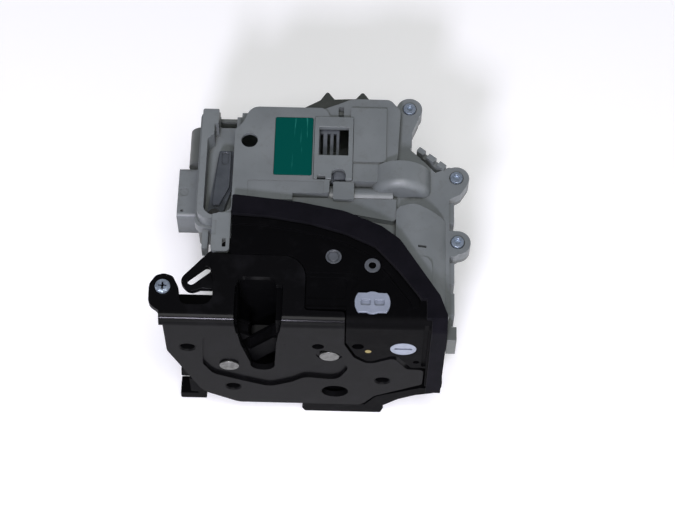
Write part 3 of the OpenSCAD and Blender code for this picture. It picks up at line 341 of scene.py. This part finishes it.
def acetal(name, colour, shade, deep):
    """Acetal (POM) as moulded: smooth and waxy, a little light goes in and softens its edges, and
    painted shade darkens its corners."""
    material, tree, shader, place = start_material(name, {
        "Roughness": 0.34, "IOR": 1.48, "Subsurface Weight": 0.1,
        "Subsurface Radius": (1.0, 1.0, 1.0), "Subsurface Scale": 0.5 * MM})
    cloud = spread(tree, noise(tree, place, 6.0, 4.0), 0.35, 0.7)
    body = blend_colours(tree, cloud, colour, shade)
    # Painted shade in the corners and recesses, in the deep colour
    tree.links.new(blend_colours(tree, corners(tree, 2.0, 0.9), body, deep),
                   shader.inputs["Base Color"])
    add_bump(tree, shader, noise(tree, place, 1.2, 2.0), 0.12, 0.03)
    return material


def zinc_plate(name, bright, dull, metallic):
    """Zinc plate on turned and headed steel: bright but not polished, with dulled patches."""
    material, tree, shader, place = start_material(name, {"Metallic": metallic})
    patch = noise(tree, place, 2.5, 5.0, 0.7)
    tree.links.new(blend_colours(tree, spread(tree, patch, 0.4, 0.7), bright, dull),
                   shader.inputs["Base Color"])
    tree.links.new(spread(tree, patch, 0.3, 0.75, 0.28, 0.5), shader.inputs["Roughness"])
    add_bump(tree, shader, noise(tree, place, 0.6, 2.0), 0.15, 0.03)
    return material


def green_film(colours):
    """Polyester film under a clear layer: flat deep green with a few pale scratches."""
    material, tree, shader, place = start_material("green_polyester_film", {
        "Roughness": 0.4, "IOR": 1.6, "Specular IOR Level": 0.06})
    # Noise that is stretched along one slanting line makes the scratches
    stretched = add_node(tree, "ShaderNodeMapping",
                         {"Rotation": (0, 0, radians(-35)), "Scale": (6.0, 0.25, 1.0)},
                         {"Vector": place})
    scratch = noise(tree, stretched.outputs["Vector"], 7.0, 3.0, 0.8)
    colour = blend_colours(tree, spread(tree, scratch, 0.62, 0.68, 0.0, 0.8),
                           colours.film, colours.film_scratch)
    tree.links.new(colour, shader.inputs["Base Color"])
    return material


def plain_finish(name, colour, shade, roughness):
    """Finish of a small or inner piece: its colour with slight blots."""
    material, tree, shader, place = start_material(name, {"Roughness": roughness})
    tree.links.new(blend_colours(tree, noise(tree, place, 4.0), colour, shade),
                   shader.inputs["Base Color"])
    return material


MATERIALS = {}


def make_materials(colours):
    """Makes every finish once."""
    MATERIALS["steel"] = dipped_steel(colours)
    MATERIALS["black"] = black_polyamide(colours)
    MATERIALS["foam"] = seal_foam(colours)
    MATERIALS["grey"] = grey_polyester(colours, "grey_polyester", colours.grey, colours.grey_shade)
    MATERIALS["rear_grey"] = grey_polyester(colours, "dark_grey_polyester",
                                            colours.rear_grey, colours.rear_shade)
    MATERIALS["cap_grey"] = grey_polyester(colours, "cap_polyester",
                                           colours.cap_grey, colours.cap_shade)
    MATERIALS["slider"] = acetal("smoky_acetal", colours.slider, colours.slider_shade, colours.deep)
    MATERIALS["white"] = acetal("white_acetal",
                                colours.white, colours.white_shade, colours.white_recess_shade)
    MATERIALS["rack"] = acetal("grey_rack_acetal", colours.rack, colours.slider, colours.deep)
    MATERIALS["pin"] = acetal("grey_acetal", colours.pin, colours.slider, colours.deep)
    MATERIALS["zinc"] = zinc_plate("zinc_plated_steel", colours.zinc, colours.zinc_dull, 1.0)
    # The passivated film over the screws' zinc is cloudy, so it scatters much of the light
    MATERIALS["screw"] = zinc_plate("blue_passivated_zinc", colours.screw, colours.screw_dull, 0.6)
    MATERIALS["film"] = green_film(colours)
    MATERIALS["board"] = plain_finish("glass_epoxy_board", colours.board, colours.board_pale, 0.45)
    MATERIALS["rubber"] = plain_finish("buffer_rubber", colours.rubber, colours.rubber_pale, 0.7)
    MATERIALS["paint"] = plain_finish("paint_pen_mark", colours.paint, colours.paint_pale, 0.5)


class LockColours(bpy.types.PropertyGroup):
    """Colours of the lock's finishes, as sRGB hex values."""

    steel_coat: bpy.props.StringProperty(
        name="Steel coat", description="Black electrocoat on the latch plate", default="#0c0c0d")
    steel_rubbed: bpy.props.StringProperty(
        name="Rubbed coat", description="Electrocoat where it is rubbed", default="#151517")
    black_moulding: bpy.props.StringProperty(
        name="Black moulding", description="Side cover and latch frame", default="#070708")
    black_dust: bpy.props.StringProperty(
        name="Dust on black", description="Pale dust in the grain of the black mouldings",
        default="#111113")
    foam: bpy.props.StringProperty(name="Foam", description="Foam seal", default="#0d0d11")
    foam_pale: bpy.props.StringProperty(
        name="Pale foam", description="Foam seal in its paler clouds", default="#141318")
    grey: bpy.props.StringProperty(
        name="Grey moulding", description="Housing cover and connector", default="#717677")
    grey_shade: bpy.props.StringProperty(
        name="Grey shade", description="Housing cover in its darker clouds", default="#676c6d")
    # Also the colour of the painted shade in the corners of the grey polyester pieces
    grime: bpy.props.StringProperty(
        name="Grime", description="Grime on the grey mouldings", default="#565855")
    rear_grey: bpy.props.StringProperty(
        name="Housing base", description="Lower half of the housing", default="#5b5f5d")
    rear_shade: bpy.props.StringProperty(
        name="Housing base shade", description="Lower half in its darker clouds", default="#505451")
    cap_grey: bpy.props.StringProperty(
        name="Rear cap", description="Cap behind the housing", default="#474a47")
    cap_shade: bpy.props.StringProperty(
        name="Rear cap shade", description="Rear cap in its darker clouds", default="#3e413f")
    slider: bpy.props.StringProperty(
        name="Slider", description="Inside release slider", default="#4a4e52")
    slider_shade: bpy.props.StringProperty(
        name="Slider shade", description="Inside release slider in its darker clouds",
        default="#404448")
    rack: bpy.props.StringProperty(
        name="Rack", description="Lock slider behind the window", default="#606468")
    white: bpy.props.StringProperty(
        name="White moulding", description="Twist plug and disc", default="#8a919f")
    white_shade: bpy.props.StringProperty(
        name="White shade", description="Twist plug and disc in their darker clouds",
        default="#7d8491")
    # Colour of the painted shade in the recesses of the twist plug and disc
    white_recess_shade: bpy.props.StringProperty(
        name="White recess", description="Twist plug and disc in their recesses", default="#5d6470")
    # Colour of the painted shade in the corners of the grey acetal pieces
    deep: bpy.props.StringProperty(
        name="Deep corners", description="Dirt in the corners of grey pieces", default="#232527")
    pin: bpy.props.StringProperty(
        name="Locating pins", description="Pins in the side cover", default="#53565b")
    zinc: bpy.props.StringProperty(
        name="Zinc", description="Rivets, springs, pawl and motors", default="#7a7a78")
    zinc_dull: bpy.props.StringProperty(
        name="Dull zinc", description="Zinc where it has dulled", default="#5b5b59")
    screw: bpy.props.StringProperty(
        name="Screw", description="Blue passivated screws", default="#a3b0bf")
    screw_dull: bpy.props.StringProperty(
        name="Dull screw", description="Screws where they have dulled", default="#6f7b88")
    film: bpy.props.StringProperty(
        name="Green film", description="Film on the housing", default="#00463f")
    film_scratch: bpy.props.StringProperty(
        name="Film scratch", description="Scratches in the film", default="#2a7a70")
    board: bpy.props.StringProperty(name="Board", description="Circuit carrier", default="#1f4a34")
    board_pale: bpy.props.StringProperty(
        name="Pale board", description="Circuit carrier in its paler blots", default="#2a5c40")
    rubber: bpy.props.StringProperty(name="Rubber", description="Striker buffer", default="#131314")
    rubber_pale: bpy.props.StringProperty(
        name="Pale rubber", description="Striker buffer in its paler blots", default="#1c1c1e")
    paint: bpy.props.StringProperty(name="Paint", description="Paint mark", default="#7d7040")
    paint_pale: bpy.props.StringProperty(
        name="Pale paint", description="Paint mark in its paler blots", default="#8f8049")


class LockSizes(bpy.types.PropertyGroup):
    """Sizes that the finishing uses."""

    steel_edge: bpy.props.FloatProperty(
        name="Steel edge", description="Rounding of the pressed edges",
        default=0.35 * MM, unit="LENGTH")
    moulded_edge: bpy.props.FloatProperty(
        name="Moulded edge", description="Rounding of the moulded edges",
        default=0.45 * MM, unit="LENGTH")
    small_edge: bpy.props.FloatProperty(
        name="Small edge", description="Rounding of screws, rivets and plugs", default=0.2 * MM,
        unit="LENGTH")
    foam_edge: bpy.props.FloatProperty(
        name="Foam edge", description="Rounding of the foam seal", default=0.9 * MM, unit="LENGTH")
    film_edge: bpy.props.FloatProperty(
        name="Film edge", description="Rounding of the label", default=0.1 * MM, unit="LENGTH")
    dimple_rim: bpy.props.FloatProperty(
        name="Dimple rim", description="Rim round the dimple in the catch's rivet",
        default=1.9 * MM, unit="LENGTH")
    dimple_depth: bpy.props.FloatProperty(
        name="Dimple depth", description="Depth of the dimple in the catch's rivet",
        default=0.35 * MM, unit="LENGTH")
    mark_radius: bpy.props.FloatProperty(
        name="Mark radius", description="Radius of the paint mark", default=1.5 * MM, unit="LENGTH")
    mark_height: bpy.props.FloatProperty(
        name="Mark height", description="Thickness of the paint mark", default=0.14 * MM,
        unit="LENGTH")
    mark_edge: bpy.props.FloatProperty(
        name="Mark edge", description="Rounding of the paint mark", default=0.05 * MM,
        unit="LENGTH")


def sizes():
    """The sizes that the user set."""
    return bpy.context.scene.lock_sizes


# Middle and radius of the hole in the bored locating pin, and how far below the pin's top its
# walls and floor are painted dark with the black moulding's finish
PIN_BORE = (51.2 * MM, 30.9 * MM)
BORE_RADIUS = 1.75 * MM
BORE_RIM = 0.5 * MM

# Place of the paint mark, just inside the front of the side cover
MARK_PLACE = (50.2 * MM, 0.34 * MM, 61.4 * MM)


# The stage: camera, light and floor as the photograph has them

PHOTO_WIDTH = 675
FOCAL_PIXELS = 1900
SENSOR = 36
CAMERA_TILT = radians(61.8)
CAMERA_SWING = radians(1.0)
CAMERA_ROLL = radians(0.5)
CAMERA_DISTANCE = 884 * MM
AIM = Vector((34.8 * MM, 37.0 * MM, 90.0 * MM))

# How far the camera sees, and the side of the floor, in metres
VIEW_END = 20
FLOOR_SIZE = 6
FLOOR_GAP = 1 * MM
# The room's walls are pale up to the first share of straight up, and its ceiling is dim from the
# second on
WALL_TOP = 0.05
CEILING_START = 0.55


def camera_axes():
    """Right, up and backward of the camera, from its tilt, swing and roll."""
    forward = Vector((-sin(CAMERA_SWING) * cos(CAMERA_TILT),
                      cos(CAMERA_SWING) * cos(CAMERA_TILT), -sin(CAMERA_TILT)))
    right = Vector((cos(CAMERA_SWING), sin(CAMERA_SWING), 0))
    up = right.cross(forward)
    rolled_right = right * cos(CAMERA_ROLL) + up * sin(CAMERA_ROLL)
    rolled_up = up * cos(CAMERA_ROLL) - right * sin(CAMERA_ROLL)
    return rolled_right, rolled_up, -forward


def area_lamp(name, place, aim, side, power, colour="#ffffff"):
    """A square soft lamp that looks at a point."""
    bpy.ops.object.light_add(type="AREA", location=place)
    lamp = bpy.context.object
    lamp.name = name
    lamp.data.size = side
    lamp.data.energy = power
    lamp.data.color = linear(colour)[:3]
    lamp.rotation_euler = (Vector(aim) - Vector(place)).to_track_quat("-Z", "Y").to_euler()


def seen_or_mirrored(tree):
    """1 for rays that the camera sends, directly, by a mirror or through glass, else 0."""
    path = add_node(tree, "ShaderNodeLightPath")
    direct = larger(tree, path.outputs["Is Camera Ray"], path.outputs["Is Glossy Ray"])
    return larger(tree, direct, path.outputs["Is Transmission Ray"])


def add_camera(scene):
    """The camera at the photograph's place."""
    bpy.ops.object.camera_add()
    camera = bpy.context.object
    camera.name = "photo_camera"
    right, up, back = camera_axes()
    turn = Matrix((right, up, back)).transposed().to_4x4()
    camera.matrix_world = Matrix.Translation(AIM + back * CAMERA_DISTANCE) @ turn
    camera.data.sensor_width = SENSOR
    camera.data.lens = FOCAL_PIXELS * SENSOR / PHOTO_WIDTH
    camera.data.clip_end = VIEW_END
    scene.camera = camera


def add_room(scene):
    """A room with pale walls and a dim ceiling, which lights the lock from all sides."""
    world = bpy.data.worlds.new("pale_room")
    scene.world = world
    world.use_nodes = True
    tree = world.node_tree
    tree.nodes.clear()
    view = add_node(tree, "ShaderNodeTexCoord").outputs["Generated"]
    height = add_node(tree, "ShaderNodeSeparateXYZ", links={"Vector": view}).outputs["Z"]
    walls = blend_colours(tree, spread(tree, height, WALL_TOP, CEILING_START), "#d4d6da", "#3a3b3f")
    room = add_node(tree, "ShaderNodeBackground", {"Strength": 1.0}, {"Color": walls})
    add_node(tree, "ShaderNodeOutputWorld", links={"Surface": room.outputs[0]})


def pale_paper():
    """Pale paper with faint fibres, whose colour makes the white of the background."""
    material = bpy.data.materials.new("pale_paper")
    material.use_nodes = True
    tree = material.node_tree
    tree.nodes.clear()
    place = add_node(tree, "ShaderNodeTexCoord").outputs["Object"]
    paper = add_node(tree, "ShaderNodeBsdfDiffuse")
    fibre = noise(tree, place, 3.0)
    tree.links.new(blend_colours(tree, fibre, "#efefef", "#f6f6f6"), paper.inputs["Color"])
    # A little light of its own brings the lit paper to white and leaves the object's shadow
    glow = add_node(tree, "ShaderNodeEmission", {"Color": (1, 1, 1, 1)},
                    {"Strength": spread(tree, seen_or_mirrored(tree), 0.0, 1.0, 0.0, 0.2)})
    shown = add_node(tree, "ShaderNodeAddShader", links={0: paper.outputs[0], 1: glow.outputs[0]})
    add_node(tree, "ShaderNodeOutputMaterial", links={"Surface": shown.outputs[0]})
    return material


class DOORLOCK_OT_stage(bpy.types.Operator):
    """Camera, soft lamps and the pale floor"""

    bl_idname = "doorlock.stage"
    bl_label = "Stage"

    def execute(self, context):
        add_camera(context.scene)
        middle = (0.03, 0.04, 0.07)
        area_lamp("window_in_front", (-0.12, -0.98, 0.92), middle, 0.17, 12.0, "#efebff")
        area_lamp("low_front_panel", (0.15, -1.35, 0.22), middle, 1.0, 7.0)
        area_lamp("ceiling_panel", (0.1, -0.5, 1.6), middle, 0.8, 17.0)
        add_room(context.scene)
        low = frame_box[0][2]
        bpy.ops.mesh.primitive_grid_add(x_subdivisions=4, y_subdivisions=4, size=FLOOR_SIZE,
                                        location=(0, 0.05, low - FLOOR_GAP))
        floor = context.object
        floor.name = "floor"
        floor.data.materials.append(pale_paper())
        context.scene.view_settings.view_transform = "Standard"
        return {"FINISHED"}


class DOORLOCK_OT_finishes(bpy.types.Operator):
    """Makes the finishes of every piece"""

    bl_idname = "doorlock.finishes"
    bl_label = "Finishes"

    def execute(self, context):
        make_materials(context.scene.lock_colours)
        return {"FINISHED"}


class DOORLOCK_OT_latch(bpy.types.Operator):
    """Steel plates, catch, pawl, rivets, springs and the outside lever"""

    bl_idname = "doorlock.latch"
    bl_label = "Latch"

    def execute(self, context):
        steel = MATERIALS["steel"]
        zinc = MATERIALS["zinc"]
        for node in ("latch_plate", "back_plate", "release_lever", "catch"):
            dress(node, steel, sizes().steel_edge)
        dress("plate_screw", MATERIALS["screw"], sizes().small_edge)
        for node in ("pawl", "catch_rivet", "pawl_rivet", "lever_rivet"):
            piece = dress(node, zinc, sizes().small_edge)
            if node == "catch_rivet":
                dimple(piece, sizes().dimple_rim, sizes().dimple_depth)
        for node in ("catch_spring", "pawl_spring", "lever_spring"):
            dress(node, zinc)
        return {"FINISHED"}


class DOORLOCK_OT_mouldings(bpy.types.Operator):
    """Black mouldings: latch frame, catch skin, side cover, buffer and switches"""

    bl_idname = "doorlock.mouldings"
    bl_label = "Black mouldings"

    def execute(self, context):
        black = MATERIALS["black"]
        for node in ("latch_frame", "side_cover"):
            dress(node, black, sizes().moulded_edge)
        for node in ("catch_skin_moulding", "catch_switch", "lock_switch"):
            dress(node, black, sizes().small_edge)
        dress("striker_buffer", MATERIALS["rubber"], sizes().small_edge)
        return {"FINISHED"}


class DOORLOCK_OT_paint_mark(bpy.types.Operator):
    """Dot of a paint pen on the side cover's front, as a worker leaves it after a check"""

    bl_idname = "doorlock.paint_mark"
    bl_label = "Paint mark"

    def execute(self, context):
        bpy.ops.object.select_all(action="DESELECT")
        bpy.ops.mesh.primitive_circle_add(vertices=20, radius=sizes().mark_radius, fill_type="NGON",
                                          location=MARK_PLACE, rotation=(pi / 2, 0, 0))
        mark = context.object
        mark.name = "paint_mark"
        bpy.ops.object.transform_apply(location=True, rotation=True, scale=True)
        bpy.ops.object.mode_set(mode="EDIT")
        bpy.ops.mesh.select_all(action="SELECT")
        move = {"value": (0, -sizes().mark_height, 0)}
        bpy.ops.mesh.extrude_region_move(TRANSFORM_OT_translate=move)
        bpy.ops.mesh.select_all(action="SELECT")
        bpy.ops.mesh.normals_make_consistent(inside=False)
        bpy.ops.object.mode_set(mode="OBJECT")
        round_edges(mark, sizes().mark_edge)
        finish_piece(mark, MATERIALS["paint"], body_of_node("side_cover"))
        return {"FINISHED"}


class DOORLOCK_OT_seal(bpy.types.Operator):
    """Foam seal round the side cover"""

    bl_idname = "doorlock.seal"
    bl_label = "Foam seal"

    def execute(self, context):
        dress("foam_seal", MATERIALS["foam"], sizes().foam_edge)
        return {"FINISHED"}


class DOORLOCK_OT_plugs(bpy.types.Operator):
    """White twist plug, emergency disc and the two locating pins"""

    bl_idname = "doorlock.plugs"
    bl_label = "Plugs and pins"

    def execute(self, context):
        for node in ("twist_plug", "emergency_disc"):
            dress(node, MATERIALS["white"], sizes().small_edge)
        pins = dress("locating_pins", MATERIALS["pin"], sizes().small_edge)
        pins.data.materials.append(MATERIALS["black"])
        top = max(vertex.co.z for vertex in pins.data.vertices)
        for face in pins.data.polygons:
            # The rear pin is bored: below its rim the bore's floor takes the black finish of the
            # moulding seen through it, and its walls take it as painted shade
            over_bore = (face.center.xy - Vector(PIN_BORE)).length < BORE_RADIUS
            if over_bore and face.center.z < top - BORE_RIM and face.normal.z > -0.5:
                face.material_index = 1
        return {"FINISHED"}


class DOORLOCK_OT_housing(bpy.types.Operator):
    """Grey housing with its window, label, connector and screws"""

    bl_idname = "doorlock.housing"
    bl_label = "Housing"

    def execute(self, context):
        dress("housing_cover", MATERIALS["grey"], sizes().moulded_edge)
        dress("housing_base", MATERIALS["rear_grey"], sizes().moulded_edge)
        dress("rear_cap", MATERIALS["cap_grey"], sizes().moulded_edge)
        dress("window_frame", MATERIALS["grey"], sizes().small_edge)
        dress("connector_shroud", MATERIALS["grey"], sizes().moulded_edge)
        dress("cover_screws", MATERIALS["screw"], sizes().small_edge)
        dress("connector_pins", MATERIALS["zinc"])
        dress("green_label", MATERIALS["film"], sizes().film_edge)
        return {"FINISHED"}


class DOORLOCK_OT_drive(bpy.types.Operator):
    """Inside release slider, and the motors, worm, wheel and lock slider inside the housing"""

    bl_idname = "doorlock.drive"
    bl_label = "Slider and drive"

    def execute(self, context):
        dress("inside_release_slider", MATERIALS["slider"], sizes().small_edge)
        dress("slider_nipple", MATERIALS["zinc"], sizes().small_edge)
        for node, material in (("worm", "white"), ("worm_wheel", "white"), ("lock_slider", "rack")):
            dress(node, MATERIALS[material])
        for node in ("lock_motor", "deadlock_motor", "wheel_axle"):
            dress(node, MATERIALS["zinc"], sizes().small_edge)
        dress("circuit_carrier", MATERIALS["board"], sizes().small_edge)
        return {"FINISHED"}


STEPS = (
    DOORLOCK_OT_stage,
    DOORLOCK_OT_finishes,
    DOORLOCK_OT_latch,
    DOORLOCK_OT_mouldings,
    DOORLOCK_OT_paint_mark,
    DOORLOCK_OT_seal,
    DOORLOCK_OT_plugs,
    DOORLOCK_OT_housing,
    DOORLOCK_OT_drive,
)


class DOORLOCK_PT_panel(bpy.types.Panel):
    """Panel with the steps and values of the door lock"""

    bl_idname = "DOORLOCK_PT_panel"
    bl_label = "Door Lock"
    bl_space_type = "VIEW_3D"
    bl_region_type = "UI"
    bl_category = "Door Lock"

    def draw(self, context):
        for group in (context.scene.lock_sizes, context.scene.lock_colours):
            for name in group.bl_rna.properties.keys():
                if name not in ("rna_type", "name"):
                    self.layout.prop(group, name)
        for step in STEPS:
            self.layout.operator(step.bl_idname)


CLASSES = (LockColours, LockSizes) + STEPS + (DOORLOCK_PT_panel,)


def register():
    for kind in CLASSES:
        bpy.utils.register_class(kind)
    bpy.types.Scene.lock_colours = bpy.props.PointerProperty(type=LockColours)
    bpy.types.Scene.lock_sizes = bpy.props.PointerProperty(type=LockSizes)


def unregister():
    del bpy.types.Scene.lock_sizes
    del bpy.types.Scene.lock_colours
    for kind in reversed(CLASSES):
        bpy.utils.unregister_class(kind)


def main():
    register()
    bpy.ops.doorlock.stage()
    bpy.ops.doorlock.finishes()
    bpy.ops.doorlock.latch()
    bpy.ops.doorlock.mouldings()
    bpy.ops.doorlock.paint_mark()
    bpy.ops.doorlock.seal()
    bpy.ops.doorlock.plugs()
    bpy.ops.doorlock.housing()
    bpy.ops.doorlock.drive()


if __name__ == "__main__":
    main()
